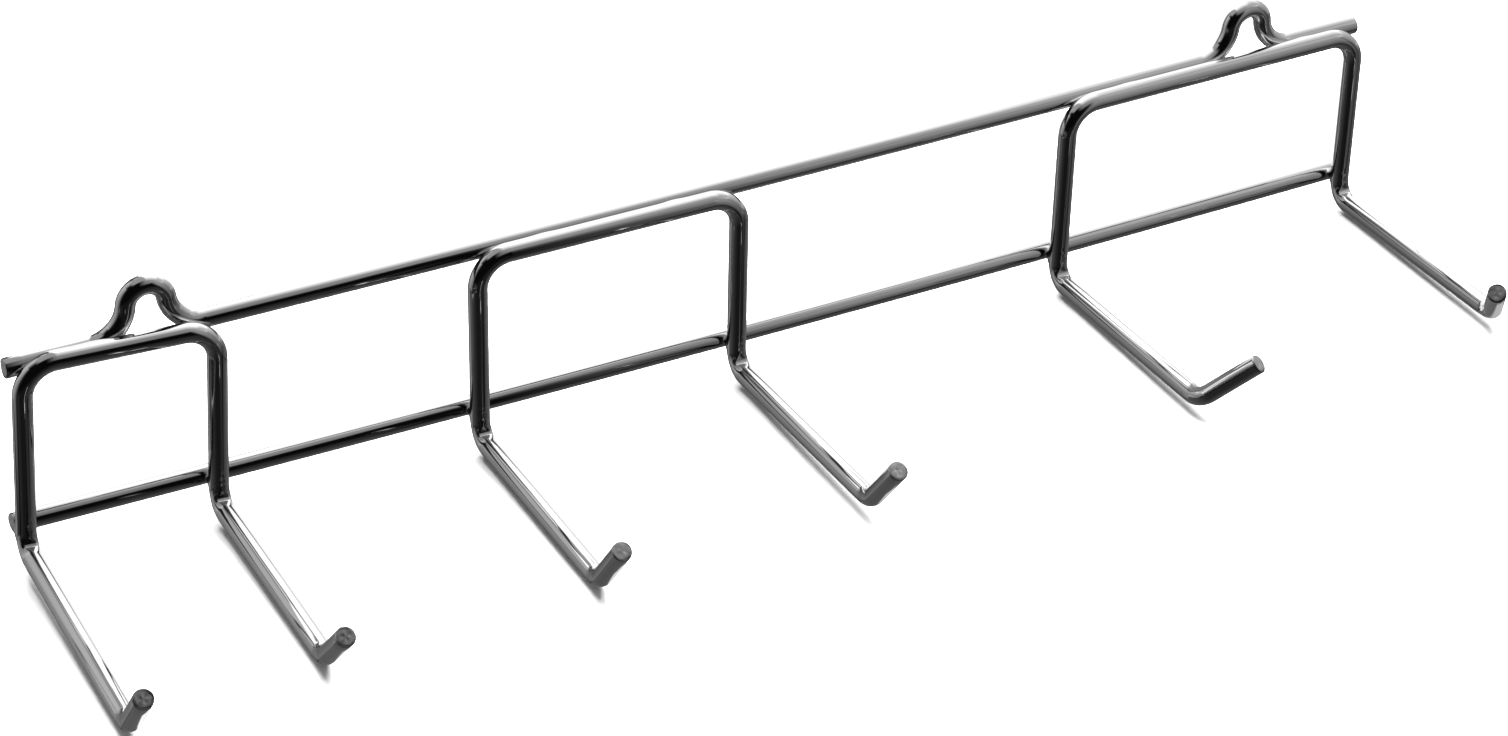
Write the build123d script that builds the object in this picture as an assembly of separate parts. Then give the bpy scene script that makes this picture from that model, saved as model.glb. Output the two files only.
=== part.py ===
import os
from dataclasses import dataclass
from math import acos, degrees, sin

from build123d import *

# A bent-wire rack that hangs on two wall screws: two rails and three double hooks, all of one
# bright plated steel wire. Millimetres, X along the rails, the wall is the plane Y = 0 and the
# hooks reach towards -Y, Z up. The origin lies on the wall, midway between the two hanging eyes.

# Wire
wire_d = 5.0
weld_set = 0.4  # how far two wires sink into each other where they are welded
end_break = 0.3  # worn edge of a sheared end

# Rails
rail_length = 396.0
rail_gap = 45.9  # top rail axis down to bottom rail axis
bottom_shift = -1.8  # the bottom rail sits this far along X from the top one
end_margin = 2.9  # rail end in to the axis of the outermost leg

# Hanging eyes, bent up out of the top rail
eye_inset = 37.0  # rail end in to the centre of the eye
eye_rise = 13.6  # rail axis up to the top of the arch, on the wire's axis
eye_arch_r = 5.3
eye_foot_r = 10.1

# Bends that all hooks share, on the wire's axis
corner_r = 8.7  # top wire into leg
elbow_r = 5.7  # leg into arm
tip_r = 6.6  # arm into tip
tip_length = 20.8  # from the corner of arm and tip to the sheared end


# One wire: two legs under a top wire, each with an arm and a tip, the left one first
@dataclass
class Hook:
    along: float  # place on the rails: -1 at their left end, 1 at their right end
    span: float  # between the two legs' axes
    height: float  # top wire axis above the rail's axis
    drop: float  # top wire axis down to the arm axis
    lean: float  # turn in the plane of the wall, degrees
    reach: tuple  # leg axis out to the corner of arm and tip
    rise: tuple  # arms against level, degrees
    swing: tuple  # arms against square to the wall, degrees towards +X
    tip_bend: tuple  # degrees
    tip_turn: tuple  # tips rolled about their arms, degrees towards +X


hooks = {
    "small_hook": Hook(
        along=-1.0,
        span=50.0,
        height=1.1,
        drop=52.3,
        lean=-3.0,
        reach=(74.5, 69.7),
        rise=(-1.4, -0.7),
        swing=(-1.2, -0.6),
        tip_bend=(53.0, 48.0),
        tip_turn=(0.0, 0.0),
    ),
    "medium_hook": Hook(
        along=-0.237,
        span=75.0,
        height=-0.5,
        drop=53.7,
        lean=-0.2,
        reach=(69.8, 72.3),
        rise=(-0.1, 1.4),
        swing=(0.0, 0.3),
        tip_bend=(53.4, 51.2),
        tip_turn=(0.0, 0.0),
    ),
    "large_hook": Hook(
        along=1.0,
        span=94.0,
        height=0.0,
        drop=53.6,
        lean=0.3,
        reach=(70.6, 72.2),
        rise=(1.3, 1.2),
        swing=(0.3, 0.3),
        tip_bend=(58.0, 56.0),
        tip_turn=(36.0, -32.0),
    ),
}

# Places that follow from the sizes above
rail_y = -wire_d / 2
hook_y = rail_y - wire_d + weld_set
top_rail_z = eye_arch_r - eye_rise
bottom_rail_z = top_rail_z - rail_gap


# A round wire along a path, with the edges of its two sheared ends worn
def wire_along(path):
    section = Plane(origin=path @ 0, z_dir=path % 0) * Circle(wire_d / 2)
    wire = sweep(section, path=path)
    ends = wire.faces().filter_by(GeomType.PLANE)
    return chamfer(ends.edges(), end_break)


# The plane that a bent wire lies in, parallel to the wall: local x runs along X, local y runs up,
# and both lean together in the plane of the wall
def upright_plane(x, y, z, lean=0.0):
    return Plane(origin=(x, y, z), x_dir=Vector(1, 0, 0).rotate(Axis.Y, -lean), z_dir=(0, -1, 0))


# The rail with its two eyes: each is an arch between two feet, arc tangent to arc
def top_rail():
    arcs_r = eye_arch_r + eye_foot_r
    turn = acos(1 - eye_rise / arcs_r)
    turn_deg = degrees(turn)
    foot_run = arcs_r * sin(turn)
    half = rail_length / 2
    runs = []
    start = Vector(-half, 0)
    for eye_x in (eye_inset - half, half - eye_inset):
        arch_centre = (eye_x, eye_rise - eye_arch_r)
        left_foot = CenterArc((eye_x - foot_run, eye_foot_r), eye_foot_r, -90, turn_deg)
        arch = CenterArc(arch_centre, eye_arch_r, 90 + turn_deg, -2 * turn_deg)
        right_foot = CenterArc((eye_x + foot_run, eye_foot_r), eye_foot_r, -90 - turn_deg, turn_deg)
        runs += [Line(start, left_foot @ 0), left_foot, arch, right_foot]
        start = right_foot @ 1
    runs.append(Line(start, (half, 0)))
    return wire_along(upright_plane(0, rail_y, top_rail_z) * Wire(runs))


def bottom_rail():
    half = rail_length / 2
    plane = upright_plane(bottom_shift, rail_y, bottom_rail_z)
    return wire_along(plane * Wire(Line((-half, 0), (half, 0))))


# The corners of a hook's wire from tip to tip, each rounded
def hook_wire(hook):
    travel = rail_length / 2 - end_margin - hook.span / 2
    plane = upright_plane(hook.along * travel, hook_y, top_rail_z + hook.height, hook.lean)
    halves = []
    for side, x in enumerate((-hook.span / 2, hook.span / 2)):
        corner = plane.from_local_coords(Vector(x, 0))
        elbow = plane.from_local_coords(Vector(x, -hook.drop))
        across = Axis((0, 0, 0), Vector(1, 0, 0).rotate(Axis.Z, hook.swing[side]))
        level = Vector(0, -1, 0).rotate(Axis.Z, hook.swing[side])
        arm = level.rotate(across, -hook.rise[side])
        tip = arm.rotate(across, -hook.tip_bend[side]).rotate(Axis((0, 0, 0), arm), -hook.tip_turn[side])
        bend = elbow + arm * hook.reach[side]
        halves.append([bend + tip * tip_length, bend, elbow, corner])
    points = halves[0] + halves[1][::-1]
    radii = [tip_r, elbow_r, corner_r]
    return wire_along(FilletPolyline(points, radius=radii + radii[::-1]).wire())


rails = {"top_rail": top_rail(), "bottom_rail": bottom_rail()}
pieces = dict(rails)
for name, hook in hooks.items():
    pieces[name] = hook_wire(hook) - list(rails.values())

os.makedirs("parts", exist_ok=True)
for name, piece in pieces.items():
    piece.label = name
    export_step(piece, f"parts/{name}.step")
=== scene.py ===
import math

import bpy
import numpy as np
from mathutils import Matrix, Quaternion, Vector
from mathutils.kdtree import KDTree


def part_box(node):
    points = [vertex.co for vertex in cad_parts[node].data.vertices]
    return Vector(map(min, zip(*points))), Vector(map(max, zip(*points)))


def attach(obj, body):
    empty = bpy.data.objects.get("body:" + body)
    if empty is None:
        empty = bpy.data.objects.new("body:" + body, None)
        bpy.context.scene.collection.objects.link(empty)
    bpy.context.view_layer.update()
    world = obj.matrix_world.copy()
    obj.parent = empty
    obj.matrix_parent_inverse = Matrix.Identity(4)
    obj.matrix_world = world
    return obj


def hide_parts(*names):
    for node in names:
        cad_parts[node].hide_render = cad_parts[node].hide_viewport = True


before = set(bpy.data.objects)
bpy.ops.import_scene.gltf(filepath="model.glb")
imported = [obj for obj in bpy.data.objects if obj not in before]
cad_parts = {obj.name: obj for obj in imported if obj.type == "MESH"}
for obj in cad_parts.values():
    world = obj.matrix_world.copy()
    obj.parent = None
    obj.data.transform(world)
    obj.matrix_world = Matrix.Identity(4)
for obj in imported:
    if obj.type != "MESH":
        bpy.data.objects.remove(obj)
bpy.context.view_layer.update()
print("frame loaded:", sorted(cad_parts))

mm = 0.001

# the wire all five pieces are bent from
wireStock = {
    "radius": 2.62,
    "sides": 48,
    "feedStep": 4.0,
    "bendStep": 2.5,
    "feedStation": 0.25,
    "bendStation": 0.15,
    "endRound": ((0.034, 0.172), (0.098, 0.146), (0.146, 0.098), (0.172, 0.034)),  # in and out
    "endRings": (0.45, 0.55, 0.55),
    "fineCuts": 11,
    "smooth": 50.0,
}


def selectOnly(piece):
    bpy.ops.object.select_all(action="DESELECT")
    piece.select_set(True)
    bpy.context.view_layer.objects.active = piece


def turned(vector, axis, degrees):
    return Quaternion(axis, math.radians(degrees)) @ vector


# feeds and bends of a wire that goes through rounded corners
def movesThrough(corners, radii):
    moves = []
    spot = corners[0]
    for i in range(1, len(corners) - 1):
        came = (corners[i] - corners[i - 1]).normalized()
        goes = (corners[i + 1] - corners[i]).normalized()
        angle = came.angle(goes)
        cut = radii[i - 1] * math.tan(angle / 2)
        moves.append(("feed", (corners[i] - spot).length - cut))
        moves.append(("bend", radii[i - 1], angle, came.cross(goes).normalized()))
        spot = corners[i] + goes * cut
    moves.append(("feed", (corners[-1] - spot).length))
    return moves


# the line down the middle of the wire, as stations: place, heading, side, length so far
def routeStations(start, heading, moves):
    spot, side, gone = start.copy(), heading.orthogonal().normalized(), 0.0
    stations, bends = [(spot.copy(), heading.copy(), side.copy(), 0.0)], []
    for move in moves:
        if move[0] == "feed":
            count = max(1, int(move[1] / wireStock["feedStation"]))
            for k in range(1, count + 1):
                place = spot + heading * (move[1] * k / count)
                stations.append((place, heading.copy(), side.copy(), gone + move[1] * k / count))
            spot = spot + heading * move[1]
            gone += move[1]
            continue
        radius, angle, axis = move[1:]
        toCentre = axis.cross(heading)
        centre = spot + toCentre * radius
        inside = math.atan2(toCentre.dot(heading.cross(side)), toCentre.dot(side))
        bends.append(
            {"from": gone, "to": gone + radius * angle, "inside": inside, "radius": radius, "angle": angle}
        )
        count = max(4, int(radius * angle / wireStock["bendStation"]))
        for k in range(1, count + 1):
            q = Quaternion(axis, angle * k / count)
            place = centre + q @ (spot - centre)
            stations.append((place, q @ heading, q @ side, gone + radius * angle * k / count))
        spot, heading, side, gone = stations[-1]
    return stations, bends


# a wire as it comes off the bending machine: fed straight and spun round its bends
def bendWire(name, start, heading, moves):
    radius, sides = wireStock["radius"], wireStock["sides"]
    spareEnd = sum(depth for _, depth in wireStock["endRound"])
    stations, bends = routeStations(start, heading, moves)
    moves = list(moves)
    moves[0] = ("feed", moves[0][1] - spareEnd)
    moves[-1] = ("feed", moves[-1][1] - spareEnd)
    spot = start + heading * spareEnd
    bpy.ops.object.select_all(action="DESELECT")
    bpy.ops.mesh.primitive_circle_add(
        vertices=sides,
        radius=radius * mm,
        fill_type="NGON",
        location=spot * mm,
        rotation=heading.to_track_quat("Z", "Y").to_euler(),
    )
    wire = bpy.context.object
    wire.name = name
    bpy.ops.object.transform_apply(location=True, rotation=True, scale=True)
    bpy.ops.object.mode_set(mode="EDIT")
    bpy.ops.mesh.select_mode(type="FACE")
    bpy.ops.mesh.select_all(action="SELECT")
    for move in moves:
        if move[0] == "feed":
            count = max(1, round(move[1] / wireStock["feedStep"]))
            step = heading * (move[1] / count)
            for _ in range(count):
                bpy.ops.mesh.extrude_region_move(TRANSFORM_OT_translate={"value": step * mm})
            spot = spot + step * count
        else:
            bendRadius, angle, axis = move[1:]
            centre = spot + axis.cross(heading) * bendRadius
            count = max(3, math.ceil(math.degrees(angle) / wireStock["bendStep"]))
            bpy.ops.mesh.spin(steps=count, angle=-angle, center=centre * mm, axis=axis)
            q = Quaternion(axis, angle)
            spot = centre + q @ (spot - centre)
            heading = q @ heading
    bpy.ops.mesh.select_all(action="SELECT")
    bpy.ops.mesh.normals_make_consistent(inside=False)
    # the two sheared ends: a worn edge, then rings for the cut face
    bpy.ops.mesh.select_all(action="DESELECT")
    bpy.ops.object.mode_set(mode="OBJECT")
    for polygon in wire.data.polygons:
        polygon.select = len(polygon.vertices) == sides
    bpy.ops.object.mode_set(mode="EDIT")
    for thickness, depth in wireStock["endRound"]:
        bpy.ops.mesh.inset(thickness=thickness * mm, depth=depth * mm, use_individual=True)
    for thickness in wireStock["endRings"]:
        bpy.ops.mesh.inset(thickness=thickness * mm, depth=0.0, use_individual=True)
    bpy.ops.mesh.poke()
    bpy.ops.object.mode_set(mode="OBJECT")
    return wire, stations, bends


# every point's place on the wire if it were straightened: to the side, across, and along
def straightened(wire, stations):
    points = np.array([v.co for v in wire.data.vertices]) / mm
    places = np.array([s[0] for s in stations])
    headings = np.array([s[1] for s in stations])
    sides = np.array([s[2] for s in stations])
    gone = np.array([s[3] for s in stations])
    tree = KDTree(len(places))
    for i, place in enumerate(places):
        tree.insert(place, i)
    tree.balance()
    nearest = np.array([tree.find(point)[1] for point in points])
    offset = points - places[nearest]
    binormals = np.cross(headings[nearest], sides[nearest])
    return np.column_stack(
        (
            (offset * sides[nearest]).sum(1),
            (offset * binormals).sum(1),
            gone[nearest] + (offset * headings[nearest]).sum(1),
        )
    )


# more rings where the wire is to be pressed or welded
def cutRings(wire, stations, spans):
    straight = straightened(wire, stations)
    longEdge = 0.4 * wireStock["feedStep"]
    selectOnly(wire)
    bpy.ops.object.mode_set(mode="EDIT")
    bpy.ops.mesh.select_mode(type="EDGE")
    bpy.ops.mesh.select_all(action="DESELECT")
    bpy.ops.object.mode_set(mode="OBJECT")
    for edge in wire.data.edges:
        one, other = straight[edge.vertices[0]], straight[edge.vertices[1]]
        middle = (one[2] + other[2]) / 2
        alongWire = abs(one[2] - other[2]) > longEdge
        edge.select = bool(alongWire and any(low < middle < high for low, high in spans))
    bpy.ops.object.mode_set(mode="EDIT")
    bpy.ops.mesh.subdivide(number_cuts=wireStock["fineCuts"])
    bpy.ops.object.mode_set(mode="OBJECT")


# presses the points in (below zero) or out along their normals, in millimetres
def press(wire, name, depths):
    least, most = 0.002, float(np.abs(depths).max())
    for sign in (-1, 1):
        chosen = np.nonzero(depths * sign > least)[0]
        if not len(chosen):
            continue
        group = wire.vertex_groups.new(name=name)
        for i in chosen:
            group.add([int(i)], float(abs(depths[i]) / most), "REPLACE")
        pressing = wire.modifiers.new(name, "DISPLACE")
        pressing.vertex_group = group.name
        pressing.mid_level = 0.0
        pressing.strength = sign * most * mm
        selectOnly(wire)
        bpy.ops.object.modifier_apply(modifier=pressing.name)
        wire.vertex_groups.clear()


# rails
railShape = {
    "length": 396.0,
    "y": -2.62,
    "topZ": -8.3,
    "bottomZ": (-53.3, -54.85),
    "bottomShift": -1.8,
    "eyeInset": 37.0,
    "eyeRise": 13.6,
    "eyeArch": 5.3,
    "eyeFoot": 10.1,
    "topSag": 0.55,
    "bottomSag": 1.45,
    "sagSpans": 24,
    "bottomFeed": 2.0,  # straight before and after the bow
}


def topRail():
    half = railShape["length"] / 2
    arcs = railShape["eyeArch"] + railShape["eyeFoot"]
    turn = math.acos(1 - railShape["eyeRise"] / arcs)
    footRun = arcs * math.sin(turn)
    up, down = Vector((0, -1, 0)), Vector((0, 1, 0))
    outer = railShape["eyeInset"] - footRun
    inner = railShape["length"] - 2 * railShape["eyeInset"] - 2 * footRun
    slope = 4 * railShape["topSag"] / inner  # the wire sags a little between the eyes
    inner += 2 * railShape["eyeFoot"] * math.sin(slope)
    arch = ("bend", railShape["eyeArch"], 2 * turn, down)
    outerFoot = ("bend", railShape["eyeFoot"], turn, up)
    innerFoot = ("bend", railShape["eyeFoot"], turn - slope, up)
    spans = railShape["sagSpans"]
    sagging = [("bend", inner / (2 * math.sin(slope)), 2 * slope / spans, up)] * spans
    moves = [("feed", outer), outerFoot, arch, innerFoot] + sagging
    moves += [innerFoot, arch, outerFoot, ("feed", outer)]
    start = Vector((-half, railShape["y"], railShape["topZ"]))
    return bendWire("top_rail_wire", start, Vector((1, 0, 0)), moves)


def bottomRail():
    half = railShape["length"] / 2
    sag = railShape["bottomSag"]
    up = Vector((0, -1, 0))
    bow = 2 * math.atan(2 * sag / railShape["length"])
    bowRadius = half / math.sin(bow)
    leftZ, rightZ = railShape["bottomZ"]
    start = Vector((railShape["bottomShift"] - half, railShape["y"], leftZ))
    heading = Quaternion(up, -bow) @ Vector((railShape["length"], 0, rightZ - leftZ)).normalized()
    shortFeed = railShape["bottomFeed"]
    moves = [("feed", shortFeed)]
    spans = railShape["sagSpans"]
    arc = 2 * bow * (1 - 2 * shortFeed / railShape["length"])
    moves += [("bend", bowRadius, arc / spans, up)] * spans
    moves.append(("feed", shortFeed))
    return bendWire("bottom_rail_wire", start, heading, moves)


# hooks, the left arm first in every pair
hookStock = {"y": -7.57, "cornerBend": 8.7, "elbowBend": 5.7, "tipBend": 6.6, "tipLength": 20.8}
hookShapes = {
    "small_hook": {
        "centre": -169.97,
        "span": 50.0,
        "height": 1.1,
        "drop": (52.6, 52.05),
        "splay": (-0.37, 0.33),
        "lean": -3.0,
        "reach": (74.5, 69.7),
        "rise": (-1.4, -0.7),
        "swing": (-1.2, -0.6),
        "tipLift": (53.0, 48.0),
        "tipTurn": (0.0, 0.0),
    },
    "medium_hook": {
        "centre": -37.3,
        "span": 75.0,
        "height": -0.5,
        "drop": (53.9, 53.45),
        "splay": (0.0, 0.14),
        "lean": -0.2,
        "reach": (69.8, 72.3),
        "rise": (-0.1, 1.4),
        "swing": (0.0, 0.3),
        "tipLift": (53.4, 51.2),
        "tipTurn": (0.0, 0.0),
    },
    "large_hook": {
        "centre": 148.17,
        "span": 94.0,
        "height": 0.0,
        "drop": (54.25, 53.0),
        "splay": (-0.51, 0.15),
        "lean": 0.3,
        "reach": (70.6, 72.2),
        "rise": (1.3, 1.2),
        "swing": (0.3, 0.3),
        "tipLift": (58.0, 56.0),
        "tipTurn": (36.0, -32.0),
    },
}


def hookWire(name):
    hook = hookShapes[name]
    middle = Vector((hook["centre"], hookStock["y"], railShape["topZ"] + hook["height"]))
    out = Vector((0, -1, 0))
    along = turned(Vector((1, 0, 0)), out, hook["lean"])
    legUp = turned(Vector((0, 0, 1)), out, hook["lean"])
    halves = []
    for side, sign in enumerate((-1, 1)):
        corner = middle + along * (sign * hook["span"] / 2)
        legDown = turned(-legUp, out, hook["splay"][side])
        elbow = corner + legDown * hook["drop"][side]
        across = turned(Vector((1, 0, 0)), Vector((0, 0, 1)), hook["swing"][side])
        arm = turned(turned(out, Vector((0, 0, 1)), hook["swing"][side]), across, -hook["rise"][side])
        tip = turned(turned(arm, across, -hook["tipLift"][side]), arm, -hook["tipTurn"][side])
        bend = elbow + arm * hook["reach"][side]
        halves.append([bend + tip * hookStock["tipLength"], bend, elbow, corner])
    corners = halves[0] + halves[1][::-1]
    radii = [hookStock["tipBend"], hookStock["elbowBend"], hookStock["cornerBend"]]
    moves = movesThrough(corners, radii + radii[::-1])
    heading = (corners[1] - corners[0]).normalized()
    return bendWire(name + "_wire", corners[0], heading, moves)


# what bending and welding leave on a hook's wire
benchMarks = {
    "elbowCrease": 1.2,
    "tipCrease": 1.6,
    "creaseSoft": 0.12,
    "creaseSwell": 0.10,
    "swellAt": 1.4,
    "swellWide": 0.45,
    "fineReach": 8.0,
    # past the elbow, across, height and size
    "dents": ((1.0, -0.35, -0.12, 0.7), (2.6, 0.10, -0.10, 0.8), (4.2, -0.15, -0.04, 0.9)),
    "weldLobe": 52.0,
    "weldWide": 20.0,
    "weldHigh": 0.6,
    "weldLong": 1.5,
    "topWeldHigh": 0.18,
    "topWeldLong": 3.2,
    "topWeldInset": 9.0,
    "weldReach": 6.0,
    "topWeldReach": (2.0, 22.0),
}


# around the wire from a given direction, between -pi and pi
def around(straight, fromAngle):
    angle = np.arctan2(straight[:, 1], straight[:, 0]) - fromAngle
    return (angle + math.pi) % (2 * math.pi) - math.pi


# the inside of a tight bend is pressed flat and creased, and the wire swells to both sides
def creaseBend(straight, bend, creaseRadius):
    radius = wireStock["radius"]
    inner = bend["radius"] - radius
    half = bend["angle"] / 2
    turn = np.abs(straight[:, 2] - (bend["from"] + bend["to"]) / 2) / bend["radius"]
    deep = np.where(turn < half, inner / np.cos(np.clip(half - turn, 0, half)) - inner, 0.0)
    cap = (inner - creaseRadius) * (1 / math.cos(half) - 1)
    soft = benchMarks["creaseSoft"]
    deep = np.maximum(0, (deep + cap - np.sqrt((deep - cap) ** 2 + soft**2)) / 2)
    angle = around(straight, bend["inside"])
    facing = np.maximum(np.cos(angle), 0.05)
    pressed = np.maximum(0, radius - (radius - deep) / facing)
    beside = (np.abs(angle) - benchMarks["swellAt"]) / benchMarks["swellWide"]
    swell = np.exp(-(beside**2)) * deep / max(cap, 0.01)
    return swell * benchMarks["creaseSwell"] - pressed


# a soft dent or bead: place along the wire and around it, both in millimetres, and its height
def softSpot(straight, along, fromAngle, across, halfLong, halfWide, height):
    arc = around(straight, fromAngle) * wireStock["radius"]
    away = ((straight[:, 2] - along) / halfLong) ** 2 + ((arc - across) / halfWide) ** 2
    return height * np.exp(-away)


# where a stretch of the hook comes closest to a rail, and which side of the wire faces the rail
def nearestCrossing(stations, span, rail):
    legs = [s for s in stations if span[0] < s[3] < span[1]]
    legPlaces = np.array([s[0] for s in legs])
    railPlaces = np.array([s[0] for s in rail])
    apart = ((legPlaces[:, None] - railPlaces[None]) ** 2).sum(2)
    i, j = np.unravel_index(apart.argmin(), apart.shape)
    place, heading, side, along = legs[i]
    towards = Vector(railPlaces[j]) - place
    return along, math.atan2(towards.dot(heading.cross(side)), towards.dot(side))


def finishHook(name, wire, stations, bends, topRailRoute, bottomRailRoute):
    rng = np.random.default_rng(list(hookShapes).index(name) + 5)
    leftTip, leftElbow, leftCorner, rightCorner, rightElbow, rightTip = bends
    reach, weldReach = benchMarks["fineReach"], benchMarks["weldReach"]
    outReach, inReach = benchMarks["topWeldReach"]
    legs = ((leftElbow["to"], leftCorner["from"]), (rightCorner["to"], rightElbow["from"]))
    top = (leftCorner["to"], rightCorner["from"])
    welds = [nearestCrossing(stations, leg, bottomRailRoute) for leg in legs]
    topAngle = nearestCrossing(stations, top, topRailRoute)[1]
    tightBends = (leftTip, leftElbow, rightElbow, rightTip)
    spans = [(bend["from"] - reach, bend["to"] + reach) for bend in tightBends]
    spans += [(along - weldReach, along + weldReach) for along, _ in welds]
    spans += [(top[0] - outReach, top[0] + inReach), (top[1] - inReach, top[1] + outReach)]
    cutRings(wire, stations, spans)
    straight = straightened(wire, stations)
    depths = np.zeros(len(straight))
    for bend in (leftElbow, rightElbow):
        depths += creaseBend(straight, bend, benchMarks["elbowCrease"])
    for bend in (leftTip, rightTip):
        depths += creaseBend(straight, bend, benchMarks["tipCrease"])
    for bend, legEnd, way in ((leftElbow, leftElbow["to"], 1), (rightElbow, rightElbow["from"], -1)):
        for along, across, height, size in benchMarks["dents"]:
            along += rng.uniform(-0.4, 0.4)
            across += rng.uniform(-0.5, 0.5)
            long, wide = size * rng.uniform(0.6, 0.9), size * rng.uniform(0.9, 1.4)
            depths += softSpot(straight, legEnd + way * along, bend["inside"], across, long, wide, height)
    press(wire, "benchMarks", depths)
    beads = np.zeros(len(straight))
    lobe = math.radians(benchMarks["weldLobe"]) * wireStock["radius"]
    wide = math.radians(benchMarks["weldWide"]) * wireStock["radius"]
    for along, backAngle in welds:
        for sign in (-1, 1):
            high = benchMarks["weldHigh"] * rng.uniform(0.7, 1.1)
            long = benchMarks["weldLong"] * rng.uniform(0.8, 1.3)
            shift = rng.uniform(-0.6, 0.6)
            beads += softSpot(straight, along + shift, backAngle, sign * lobe, long, wide, high)
    for along in (top[0] + benchMarks["topWeldInset"], top[1] - benchMarks["topWeldInset"]):
        for sign in (-1, 1):
            high = benchMarks["topWeldHigh"] * rng.uniform(0.7, 1.1)
            long = benchMarks["topWeldLong"] * rng.uniform(0.8, 1.2)
            shift = rng.uniform(-2.0, 2.0)
            beads += softSpot(straight, along + shift, topAngle, sign * lobe, long, wide, high)
    press(wire, "welds", beads)
    return straight


# a sheared end: the cut runs a little askew and leaves a burr on one side
shearCut = {
    "back": 0.08,
    "askew": 0.35,
    "waves": 0.05,
    "waveCount": 3,
    "waveTurn": 2.2,
    "burr": 0.16,
    "burrFrom": 2.2,
    "burrBack": 0.5,
}


def shearEnds(wire, straight, length, seed):
    rng = np.random.default_rng(seed)
    depths = np.zeros(len(straight))
    radius = np.hypot(straight[:, 0], straight[:, 1])
    back = shearCut["back"]
    for nearEnd in (straight[:, 2] < back, straight[:, 2] > length - back):
        askew = np.cos(around(straight, rng.uniform(-math.pi, math.pi))) * radius / wireStock["radius"]
        waveAngle = shearCut["waveCount"] * around(straight, rng.uniform(-3, 3))
        waves = np.cos(waveAngle) * np.sin(radius * shearCut["waveTurn"])
        depths += nearEnd * (shearCut["askew"] * (askew - 1) / 2 + shearCut["waves"] * waves)
    rim = np.zeros(len(straight))
    outside = radius > shearCut["burrFrom"]
    for gone in (straight[:, 2], length - straight[:, 2]):
        burrLipAndRimShade = np.maximum(0, np.cos(around(straight, rng.uniform(-math.pi, math.pi)))) ** 2
        rim += shearCut["burr"] * burrLipAndRimShade * outside * np.clip(1 - gone / shearCut["burrBack"], 0, 1)
    press(wire, "askewCut", depths)
    press(wire, "burr", rim)


# painted shade: every cut's rim is darkened on its low side, a fixed direction in the scene, to stand in
# for the dark it mirrors there
rimShadePainting = {
    "side": (-0.35, -0.75, -0.56),
    "from": 1.6,
    "to": 2.3,
    "back": 0.6,
    "dark": 0.85,
    "sharp": 1.6,
}
# and each cut face is made lighter or darker by its own factor: the first and last end of each hook's wire
endFaceTones = {"small_hook": (0.85, 1.1), "medium_hook": (0.85, 1.05), "large_hook": (0.95, 0.5)}


# painted rim shade times each end's tone, for every point near the ends
def paintedRimShadeAndTone(wire, straight, length, cutTones):
    lowSide = np.array(Vector(rimShadePainting["side"]).normalized())
    points = np.array([v.co for v in wire.data.vertices])
    offAxis = np.hypot(straight[:, 0], straight[:, 1])
    shade = np.ones(len(points))
    ends = (straight[:, 2] < rimShadePainting["back"], straight[:, 2] > length - rimShadePainting["back"])
    for nearEnd, cutTone in zip(ends, cutTones):
        outwards = points[nearEnd] - points[nearEnd].mean(0)
        low = outwards @ lowSide / np.maximum(np.linalg.norm(outwards, axis=1), 1e-6)
        rim = np.clip((offAxis[nearEnd] - rimShadePainting["from"]) / (rimShadePainting["to"] - rimShadePainting["from"]), 0, 1)
        shade[nearEnd] = cutTone * (1 - rimShadePainting["dark"] * rim * np.clip(low * rimShadePainting["sharp"], 0, 1))
    return shade


# finishes
def newMaterial(name):
    material = bpy.data.materials.new(name)
    material.use_nodes = True
    tree = material.node_tree
    shader = tree.nodes["Principled BSDF"]
    return material, tree, shader


def straightCoordinates(tree, scale):
    straight = tree.nodes.new("ShaderNodeAttribute")
    straight.attribute_name = "straightWire"
    mapping = tree.nodes.new("ShaderNodeMapping")
    mapping.inputs["Scale"].default_value = scale
    tree.links.new(straight.outputs["Vector"], mapping.inputs["Vector"])
    return mapping.outputs["Vector"]


def noiseOn(tree, coordinates, detail):
    noise = tree.nodes.new("ShaderNodeTexNoise")
    noise.inputs["Scale"].default_value = 1.0
    noise.inputs["Detail"].default_value = detail
    tree.links.new(coordinates, noise.inputs["Vector"])
    return noise.outputs["Fac"]


def bumped(tree, shader, height, strength, distance):
    bump = tree.nodes.new("ShaderNodeBump")
    bump.inputs["Strength"].default_value = strength
    bump.inputs["Distance"].default_value = distance
    tree.links.new(height, bump.inputs["Height"])
    tree.links.new(bump.outputs["Normal"], shader.inputs["Normal"])


def chromePlate():
    look = {
        "colour": (0.60, 0.60, 0.605, 1),
        "roughness": (0.03, 0.09),
        "lines": (2.6, 2.6, 0.002),
        "detail": 2.0,
        "bump": (0.12, 0.00008),
    }
    material, tree, shader = newMaterial("chromePlate")
    shader.inputs["Base Color"].default_value = look["colour"]
    shader.inputs["Metallic"].default_value = 1.0
    drawn = noiseOn(tree, straightCoordinates(tree, look["lines"]), look["detail"])
    gloss = tree.nodes.new("ShaderNodeMapRange")
    gloss.inputs["To Min"].default_value = look["roughness"][0]
    gloss.inputs["To Max"].default_value = look["roughness"][1]
    tree.links.new(drawn, gloss.inputs["Value"])
    tree.links.new(gloss.outputs["Result"], shader.inputs["Roughness"])
    bumped(tree, shader, drawn, *look["bump"])
    return material


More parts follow.
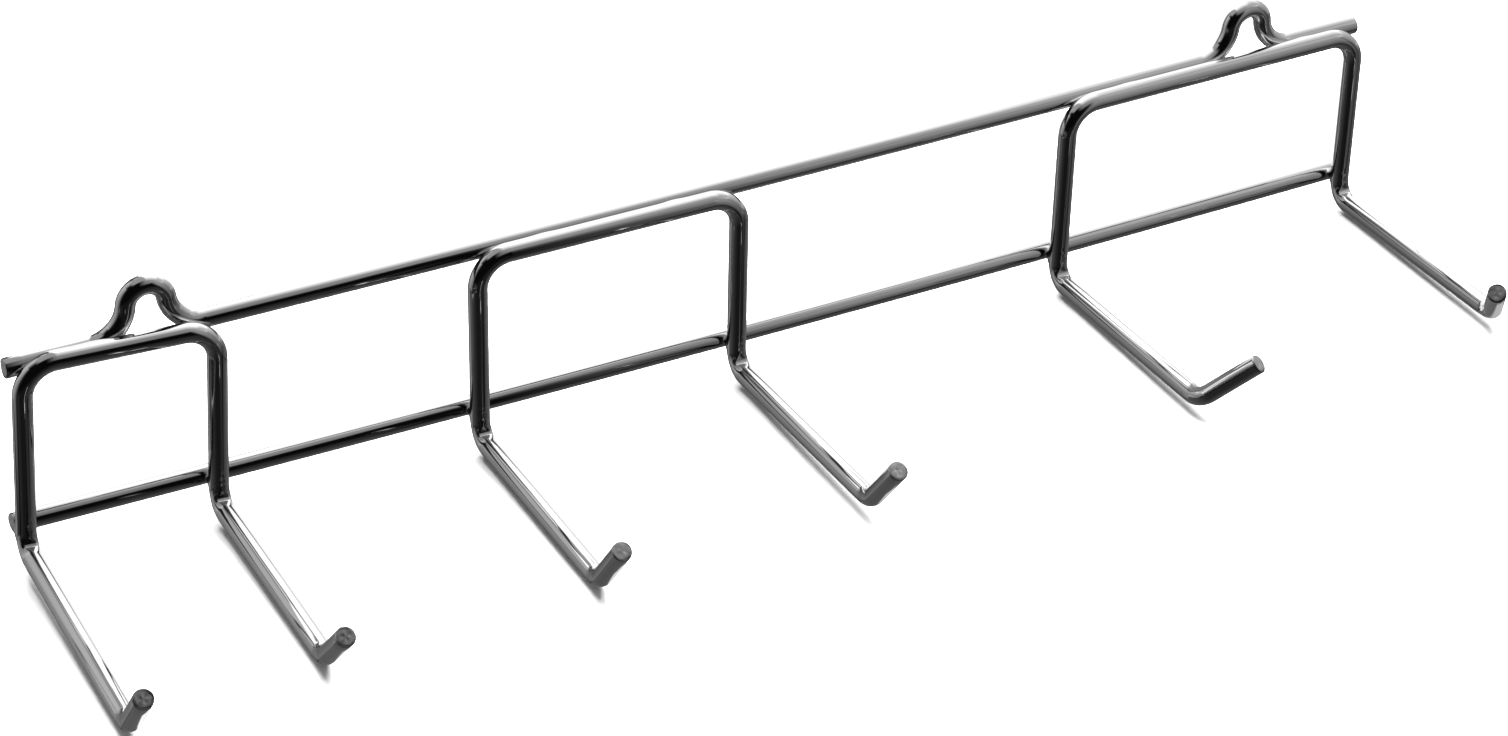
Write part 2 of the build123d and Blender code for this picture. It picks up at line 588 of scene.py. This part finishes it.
def shearedEnd():
    look = {
        "dark": (0.42, 0.42, 0.425, 1),
        "light": (0.66, 0.66, 0.665, 1),
        "tones": (0.32, 0.60),
        "roughness": 0.42,
        "grain": (0.7, 0.7, 0.7),
        "detail": 5.0,
        "bump": (0.3, 0.0002),
    }
    material, tree, shader = newMaterial("shearedEnd")
    shader.inputs["Metallic"].default_value = 1.0
    shader.inputs["Roughness"].default_value = look["roughness"]
    grain = noiseOn(tree, straightCoordinates(tree, look["grain"]), look["detail"])
    tone = tree.nodes.new("ShaderNodeValToRGB")
    tone.color_ramp.elements[0].position = look["tones"][0]
    tone.color_ramp.elements[0].color = look["dark"]
    tone.color_ramp.elements[1].position = look["tones"][1]
    tone.color_ramp.elements[1].color = look["light"]
    tree.links.new(grain, tone.inputs["Fac"])
    # the base colour is darkened by the painted rim shade and each end's tone
    burrLipAndRimShade = tree.nodes.new("ShaderNodeAttribute")
    burrLipAndRimShade.attribute_name = "paintedRimShadeAndTone"
    shaded = tree.nodes.new("ShaderNodeVectorMath")
    shaded.operation = "SCALE"
    tree.links.new(tone.outputs["Color"], shaded.inputs["Vector"])
    tree.links.new(burrLipAndRimShade.outputs["Fac"], shaded.inputs["Scale"])
    tree.links.new(shaded.outputs["Vector"], shader.inputs["Base Color"])
    bumped(tree, shader, grain, *look["bump"])
    return material


cutFace = {"back": 0.5, "inside": 2.57}  # how near the end and the axis the duller finish starts
chrome, cut = chromePlate(), shearedEnd()
wires = {"top_rail": topRail(), "bottom_rail": bottomRail()}
for hookName in hookShapes:
    wires[hookName] = hookWire(hookName)
topRoute, bottomRoute = wires["top_rail"][1], wires["bottom_rail"][1]
for number, (node, (wire, stations, bends)) in enumerate(wires.items()):
    if node in hookShapes:
        straight = finishHook(node, wire, stations, bends, topRoute, bottomRoute)
    else:
        straight = straightened(wire, stations)
    length = stations[-1][3]
    shearEnds(wire, straight, length, number + 11)
    layer = wire.data.attributes.new("straightWire", "FLOAT_VECTOR", "POINT")
    layer.data.foreach_set("vector", straight.astype(np.float32).ravel())
    # the painted rim shade and end tones, stored on the points for the cut material
    burrLipAndRimShade = wire.data.attributes.new("paintedRimShadeAndTone", "FLOAT", "POINT")
    shade = paintedRimShadeAndTone(wire, straight, length, endFaceTones.get(node, (1.0, 1.0)))
    burrLipAndRimShade.data.foreach_set("value", shade.astype(np.float32))
    selectOnly(wire)
    bpy.ops.object.shade_smooth_by_angle(angle=math.radians(wireStock["smooth"]))
    wire.data.materials.append(chrome)
    wire.data.materials.append(cut)
    toEnd = np.minimum(straight[:, 2], length - straight[:, 2])
    nearEnds = set(np.nonzero(toEnd < cutFace["back"])[0])
    offAxis = np.hypot(straight[:, 0], straight[:, 1])
    for polygon in wire.data.polygons:
        if nearEnds.issuperset(polygon.vertices):
            polygon.material_index = int(offAxis[list(polygon.vertices)].mean() < cutFace["inside"])
    lowCorner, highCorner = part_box(node)
    made = np.array([v.co for v in wire.data.vertices])
    misfit = max(np.abs(made.min(0) - lowCorner).max(), np.abs(made.max(0) - highCorner).max())
    print(node, "departs from its solid's box by", round(misfit / mm, 2), "mm")
    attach(wire, "root")
    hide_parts(node)
print("wires bent:", len(wires))

# floor, white to the eye; the plating mirrors the tent and the dark table instead
# the paper curls up a little under both ends of the rack, so every arm lies close to it:
# where each curl starts and ends, and its rise
paperSheet = {
    "fine": 0.8,
    "cuts": 301,
    "stretch": 40,
    "low": -65.45,
    "left": (-75.0, -215.0, 2.75),
    "right": (101.0, 215.0, 2.0),
    "colour": (0.9, 0.9, 0.9, 1),
    "roughness": 0.9,
}
bpy.ops.object.select_all(action="DESELECT")
bpy.ops.mesh.primitive_grid_add(
    x_subdivisions=paperSheet["cuts"], y_subdivisions=1, size=paperSheet["fine"]
)
floor = bpy.context.object
floor.name = "floor"


def paperHeight(x):
    height = paperSheet["low"]
    for start, end, rise in (paperSheet["left"], paperSheet["right"]):
        height = height + rise * np.clip((x - start) / (end - start), 0, 1)
    return height


for vertex in floor.data.vertices:
    vertex.co.z = paperHeight(vertex.co.x / mm) * mm
    if abs(vertex.co.x) > paperSheet["fine"] / 2 - mm:  # the outermost edges
        vertex.co.x *= paperSheet["stretch"]
    vertex.co.y *= paperSheet["stretch"]
floor.visible_glossy = False
paper, _, paperShader = newMaterial("whitePaper")
paperShader.inputs["Base Color"].default_value = paperSheet["colour"]
paperShader.inputs["Roughness"].default_value = paperSheet["roughness"]
paperShader.inputs["Specular IOR Level"].default_value = 0.0
floor.data.materials.append(paper)

# the light tent: walls that only the plating sees, each with the glow of its four corners
# (left low, right low, left high, right high) and the soft share of its four edges
tentWalls = {
    "tentBack": {
        "centre": (0.445, 0.50, -0.01),
        "size": (0.93, 0.88),
        "turn": (90, 0, 0),
        "glow": (1.2, 0.45, 2.0, 2.2),
        "soft": (0.08, 0.1, 0.04, 0.0),
    },
    "tentTop": {
        "centre": (0.295, 0.18, 0.43),
        "size": (0.91, 0.66),
        "turn": (0, 0, 0),
        "glow": (0.40, 1.2, 3.0, 3.0),
        "soft": (0.143, 0.0, 0.0, 0.0),
    },
    "tentTopFront": {
        "centre": (0.35, -0.46, 0.43),
        "size": (1.20, 0.62),
        "turn": (0, 0, 0),
        "glow": (0.0, 0.51, 0.26, 1.04),
        "soft": (0.194, 0.0, 0.05, 0.0),
    },
    "tentTopLeft": {
        "centre": (-0.23, 0.125, 0.425),
        "size": (0.44, 0.55),
        "turn": (0, 0, 0),
        "glow": (0.42, 0.42, 0.5, 0.5),
        "soft": (0.3, 0.25, 0.12, 0.15),
        "clear": True,
    },
    "tentTopRight": {
        "centre": (0.60, 0.17, 0.428),
        "size": (0.70, 0.67),
        "turn": (0, 0, 0),
        "glow": (0.5, 0.5, 1.95, 1.9),
        "soft": (0.227, 0.0, 0.0, 0.0),
        "clear": True,
    },
    "tentShade": {
        "centre": (-0.17, 0.46, 0.427),
        "size": (0.36, 0.13),
        "turn": (0, 0, 0),
        "glow": (0.4, 0.5, 0.35, 0.45),
        "soft": (0.1, 0.3, 0.25, 0.0),
        "clear": True,
    },
    "tentCorner": {
        "centre": (-0.135, 0.4865, 0.4262),
        "size": (0.23, 0.029),
        "turn": (0, 0, 0),
        "glow": (1.6, 0.9, 1.6, 0.9),
        "soft": (0.15, 0.1, 0.25, 0.0),
        "clear": True,
    },
    "tentSlit": {
        "centre": (-0.20, 0.49, 0.3875),
        "size": (0.13, 0.075),
        "turn": (90, 0, 0),
        "glow": (1.0, 0.8, 1.0, 0.8),
        "soft": (0.25, 0.25, 0.25, 0.1),
        "clear": True,
    },
    "tentBackLow": {
        "centre": (-0.045, 0.495, 0.0525),
        "size": (0.13, 0.745),
        "turn": (90, 0, 0),
        "glow": (1.1, 1.1, 1.8, 1.8),
        "soft": (0.2, 0.0, 0.1, 0.02),
        "clear": True,
    },
    "tentBackLeft": {
        "centre": (-0.46, 0.50, 0.19),
        "size": (0.40, 0.56),
        "turn": (90, 0, 0),
        "glow": (0.5, 0.25, 0.95, 0.55),
        "soft": (0.02, 0.2, 0.02, 0.02),
    },
    "tableBackLeft": {
        "centre": (-0.40, 0.50, -0.42),
        "size": (0.80, 0.66),
        "turn": (90, 0, 0),
        "glow": (0.38, 0.05, 0.48, 0.06),
        "soft": (0.02, 0.1, 0.1, 0.0),
    },
    "tentGap": {
        "centre": (-0.16, 0.53, 0.13),
        "size": (0.40, 0.60),
        "turn": (90, 0, 0),
        "glow": (0.25, 0.10, 0.2, 0.05),
        "soft": (0.02, 0.1, 0.1, 0.0),
    },
    "tentLeft": {
        "centre": (-0.66, 0.18, 0.06),
        "size": (0.64, 0.82),
        "turn": (90, 0, 90),
        "glow": (0.08, 0.5, 0.15, 0.9),
        "soft": (0.4, 0.02, 0.1, 0.02),
    },
    "tentFrontRight": {
        "centre": (0.56, -0.65, -0.08),
        "size": (0.80, 1.04),
        "turn": (90, 0, 0),
        "glow": (0.0, 0.08, 0.50, 0.46),
        "soft": (0.25, 0.05, 0.2, 0.06),
    },
    "tentRight": {
        "centre": (0.95, -0.07, 0.16),
        "size": (1.16, 0.54),
        "turn": (90, 0, 90),
        "glow": (0.2, 0.6, 0.35, 1.1),
        "soft": (0.05, 0.0, 0.15, 0.0),
        "clear": True,
    },
}


def mapRange(tree, value, fromMin, fromMax, smooth=True):
    node = tree.nodes.new("ShaderNodeMapRange")
    node.interpolation_type = "SMOOTHSTEP" if smooth else "LINEAR"
    node.inputs["From Min"].default_value = fromMin
    node.inputs["From Max"].default_value = fromMax
    tree.links.new(value, node.inputs["Value"])
    return node.outputs["Result"]


def times(tree, a, b):
    node = tree.nodes.new("ShaderNodeMath")
    node.operation = "MULTIPLY"
    tree.links.new(a, node.inputs[0])
    tree.links.new(b, node.inputs[1])
    return node.outputs["Value"]


def between(tree, factor, low, high):
    node = tree.nodes.new("ShaderNodeMix")
    tree.links.new(factor, node.inputs["Factor"])
    for socket, value in ((node.inputs["A"], low), (node.inputs["B"], high)):
        if isinstance(value, float):
            socket.default_value = value
        else:
            tree.links.new(value, socket)
    return node.outputs["Result"]


def hangWall(name, wall):
    bpy.ops.object.select_all(action="DESELECT")
    turn = [math.radians(a) for a in wall["turn"]]
    bpy.ops.mesh.primitive_plane_add(size=1.0, location=wall["centre"], rotation=turn)
    card = bpy.context.object
    card.name = name
    card.scale = (wall["size"][0], wall["size"][1], 1.0)
    card.visible_camera = False
    card.visible_diffuse = False
    card.visible_shadow = False
    material = bpy.data.materials.new(name)
    material.use_nodes = True
    tree = material.node_tree
    tree.nodes.clear()
    place = tree.nodes.new("ShaderNodeTexCoord")
    split = tree.nodes.new("ShaderNodeSeparateXYZ")
    tree.links.new(place.outputs["Object"], split.inputs["Vector"])
    u = mapRange(tree, split.outputs["X"], -0.5, 0.5, False)
    v = mapRange(tree, split.outputs["Y"], -0.5, 0.5, False)
    glow = [float(g) for g in wall["glow"]]
    light = between(tree, v, between(tree, u, glow[0], glow[1]), between(tree, u, glow[2], glow[3]))
    left, right, low, high = (soft + 0.001 for soft in wall["soft"])  # no edge is quite hard
    fade = times(tree, mapRange(tree, u, 0.0, left), mapRange(tree, u, 1.0, 1.0 - right))
    fade = times(tree, fade, mapRange(tree, v, 0.0, low))
    fade = times(tree, fade, mapRange(tree, v, 1.0, 1.0 - high))
    if wall.get("oneSided"):  # clear from behind
        side = tree.nodes.new("ShaderNodeNewGeometry").outputs["Backfacing"]
        fade = times(tree, fade, mapRange(tree, side, 1.0, 0.0, False))
    emission = tree.nodes.new("ShaderNodeEmission")
    output = tree.nodes.new("ShaderNodeOutputMaterial")
    surface = emission.outputs["Emission"]
    if wall.get("clear"):  # the soft edges let what hangs behind show, others fade to black
        edges = tree.nodes.new("ShaderNodeMixShader")
        tree.links.new(fade, edges.inputs["Fac"])
        tree.links.new(tree.nodes.new("ShaderNodeBsdfTransparent").outputs["BSDF"], edges.inputs[1])
        tree.links.new(surface, edges.inputs[2])
        surface = edges.outputs["Shader"]
    else:
        light = times(tree, light, fade)
    tree.links.new(light, emission.inputs["Strength"])
    tree.links.new(surface, output.inputs["Surface"])
    card.data.materials.append(material)


for wallName, wall in tentWalls.items():
    hangWall(wallName, wall)


# the place on a wire halfway between two lengths along it
def placeBetween(stations, start, end):
    middle = (start + end) / 2
    return min(stations, key=lambda station: abs(station[3] - middle))[0]


# what the tips mirror beside them: place from the bend, on the paper if no height is given,
# then size, turn and the glow at the left and right
tipSoft = (0.15, 0.15, 0.15, 0.15)
tipPatches = (
    ("small_hook", 0, (5.2, -3.6, None), (7.5, 7.0), 0, (1.3, 1.3)),
    ("small_hook", -1, (5.6, -3.4, None), (7.0, 7.0), 0, (0.7, 0.7)),
    ("medium_hook", 0, (5.2, -3.6, None), (7.5, 7.0), 0, (0.9, 0.9)),
    ("medium_hook", -1, (5.2, -3.6, None), (7.5, 7.0), 0, (0.75, 0.75)),
    ("large_hook", 0, (3.5, 4.0, 8.0), (17.0, 13.5), 90, (0.35, 0.08)),
    ("large_hook", -1, (4.5, -1.5, None), (13.0, 15.0), 0, (0.62, 0.62)),
)
for hookName, side, offset, size, turn, glow in tipPatches:
    stations, bends = wires[hookName][1:]
    bendPlace = placeBetween(stations, bends[side]["from"], bends[side]["to"])
    patchX, patchY = bendPlace.x + offset[0], bendPlace.y + offset[1]
    patchZ = paperHeight(patchX) if offset[2] is None else bendPlace.z + offset[2]
    hangWall(
        hookName + "TipPatch" + str(side),
        {
            "centre": (patchX * mm, patchY * mm, patchZ * mm),
            "size": (size[0] * mm, size[1] * mm),
            "turn": (turn, 0, 0),
            "glow": glow + glow,
            "soft": tipSoft,
            "clear": True,
        },
    )

# the arms' white lines run clean to the tips: cards in front of the top wires, glowing towards the
# arms and clear from behind, each from so far beside its leg
topShields = {
    "size": (40.0, 16.0),
    "ahead": 4.9,
    "below": 5.2,
    "glow": 1.8,
    "soft": (0.1, 0.1, 0.06, 0.06),
    "tiltFrom": 12.0,
    "from": {"small_hook": (5.0, 2.0), "medium_hook": (-3.0, -7.5), "large_hook": (-15.0, -22.0)},
}
for hookName, starts in topShields["from"].items():
    stations, bends = wires[hookName][1:]
    leftCorner, rightCorner = bends[2:4]
    topPlace = placeBetween(stations, leftCorner["to"], rightCorner["from"])
    tilt = math.tan(math.radians(hookShapes[hookName]["lean"]))
    for side, start in enumerate(starts):
        fromMiddle = (side - 0.5) * hookShapes[hookName]["span"] + start
        shieldX = topPlace.x + fromMiddle + topShields["size"][0] / 2
        shieldZ = topPlace.z - topShields["below"] + tilt * (fromMiddle + topShields["tiltFrom"])
        hangWall(
            hookName + "TopShield" + str(side),
            {
                "centre": (shieldX * mm, (topPlace.y - topShields["ahead"]) * mm, shieldZ * mm),
                "size": (topShields["size"][0] * mm, topShields["size"][1] * mm),
                "turn": (90, 0, 0),
                "glow": (topShields["glow"],) * 4,
                "soft": topShields["soft"],
                "clear": True,
                "oneSided": True,
            },
        )

# what the plating mirrors past the tent: a dark room in front, a greyer table behind
room = {
    "frontAzimuth": -115.0,
    "table": (0.015, 0.26),
    "tableTurn": (0.85, -0.95),
    "above": (0.004, 1.2),
    "aboveTurn": (0.35, -0.6),
    "horizon": (-0.30, -0.02),
    "fill": 0.45,
}
world = bpy.data.worlds.new("studio")
bpy.context.scene.world = world
world.use_nodes = True
tree = world.node_tree
tree.nodes.clear()
direction = tree.nodes.new("ShaderNodeTexCoord").outputs["Generated"]
towardsFront = tree.nodes.new("ShaderNodeVectorMath")
towardsFront.operation = "DOT_PRODUCT"
frontAngle = math.radians(room["frontAzimuth"])
towardsFront.inputs[1].default_value = (math.cos(frontAngle), math.sin(frontAngle), 0)
tree.links.new(direction, towardsFront.inputs[0])
split = tree.nodes.new("ShaderNodeSeparateXYZ")
tree.links.new(direction, split.inputs["Vector"])
front = towardsFront.outputs["Value"]
table = between(tree, mapRange(tree, front, *room["tableTurn"], False), *room["table"])
above = between(tree, mapRange(tree, front, *room["aboveTurn"]), *room["above"])
mirrored = between(tree, mapRange(tree, split.outputs["Z"], *room["horizon"]), table, above)
roomLight = tree.nodes.new("ShaderNodeBackground")
tree.links.new(mirrored, roomLight.inputs["Strength"])
fillLight = tree.nodes.new("ShaderNodeBackground")
fillLight.inputs["Strength"].default_value = room["fill"]
rays = tree.nodes.new("ShaderNodeLightPath")
choice = tree.nodes.new("ShaderNodeMixShader")
tree.links.new(rays.outputs["Is Glossy Ray"], choice.inputs["Fac"])
tree.links.new(fillLight.outputs["Background"], choice.inputs[1])
tree.links.new(roomLight.outputs["Background"], choice.inputs[2])
skyOut = tree.nodes.new("ShaderNodeOutputWorld")
tree.links.new(choice.outputs["Shader"], skyOut.inputs["Surface"])

# the key light, from the back right, for the shadows on the floor
keyLight = {"from": (0.78, 1.35, 1.55), "size": 2.8, "power": 430.0}
lamp = bpy.data.lights.new("keyLight", "AREA")
lamp.shape = "DISK"
lamp.size = keyLight["size"]
lamp.energy = keyLight["power"]
lampObject = bpy.data.objects.new("keyLight", lamp)
bpy.context.scene.collection.objects.link(lampObject)
lampObject.location = keyLight["from"]
lampObject.rotation_euler = (-Vector(keyLight["from"])).to_track_quat("-Z", "Y").to_euler()
lampObject.visible_glossy = False
lampObject.visible_camera = False
print("tent and lights up")

# camera where the photograph was taken from
shot = {
    "aim": (8.47, -2.5, -68.39),
    "distance": 1076.14,
    "azimuth": 28.891,
    "elevation": 33.112,
    "roll": 1.282,
    "lens": 95.18,
    "sensor": 36.0,
}
azimuth, elevation, roll = (math.radians(shot[k]) for k in ("azimuth", "elevation", "roll"))
level = Vector((math.cos(azimuth), -math.sin(azimuth), 0))
ahead = Vector((math.sin(azimuth), math.cos(azimuth), 0))
looking = ahead * math.cos(elevation) - Vector((0, 0, math.sin(elevation)))
upright = level.cross(looking)
right = level * math.cos(roll) + upright * math.sin(roll)
up = upright * math.cos(roll) - level * math.sin(roll)
cameraData = bpy.data.cameras.new("camera")
cameraData.lens = shot["lens"]
cameraData.sensor_width = shot["sensor"]
camera = bpy.data.objects.new("camera", cameraData)
bpy.context.scene.collection.objects.link(camera)
stand = (Vector(shot["aim"]) - looking * shot["distance"]) * mm
camera.matrix_world = Matrix(
    [
        (right.x, up.x, -looking.x, stand.x),
        (right.y, up.y, -looking.y, stand.y),
        (right.z, up.z, -looking.z, stand.z),
        (0, 0, 0, 1),
    ]
)
bpy.context.scene.camera = camera
bpy.context.scene.view_settings.view_transform = "Standard"
